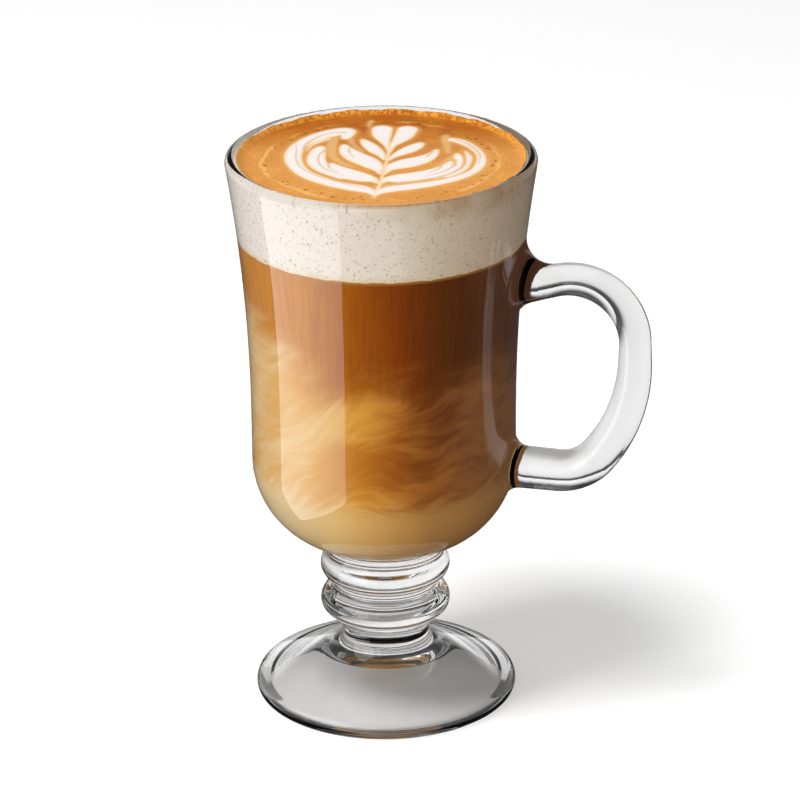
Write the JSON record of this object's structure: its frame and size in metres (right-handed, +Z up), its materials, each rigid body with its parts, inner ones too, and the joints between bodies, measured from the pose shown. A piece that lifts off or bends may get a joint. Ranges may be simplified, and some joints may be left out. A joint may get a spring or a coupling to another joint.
{
  "type": "cup of cappuccino",
  "caption": "Footed clear-glass mug with a side handle and beaded stem, brim-full of layered cappuccino with leaf-shaped foam art.",
  "frame": {"origin": "on the bowl's axis, in the plane of the ring that the foot stands on", "axes": "+Z up along the bowl's axis, +X towards the handle, +Y across the handle"},
  "size_m": [0.1072, 0.0772, 0.145],
  "materials": {
    "clear_glass": "polished, pressed clear glass",
    "milk": "wet, cloudy milky coffee",
    "marbled_coffee": "wet, marbled from coffee into milk",
    "coffee": "wet, dark coffee with fine upright streaks",
    "milk_foam": "fine, moist milk foam",
    "crema": "fine golden-brown crema with white foam art"
  },
  "bodies": {
    "root": {"glass": "clear_glass", "milk_layer": "milk", "swirl_layer": "marbled_coffee", "coffee_layer": "coffee", "foam_layer": "milk_foam", "crema": "crema"}
  },
  "joints": []
}
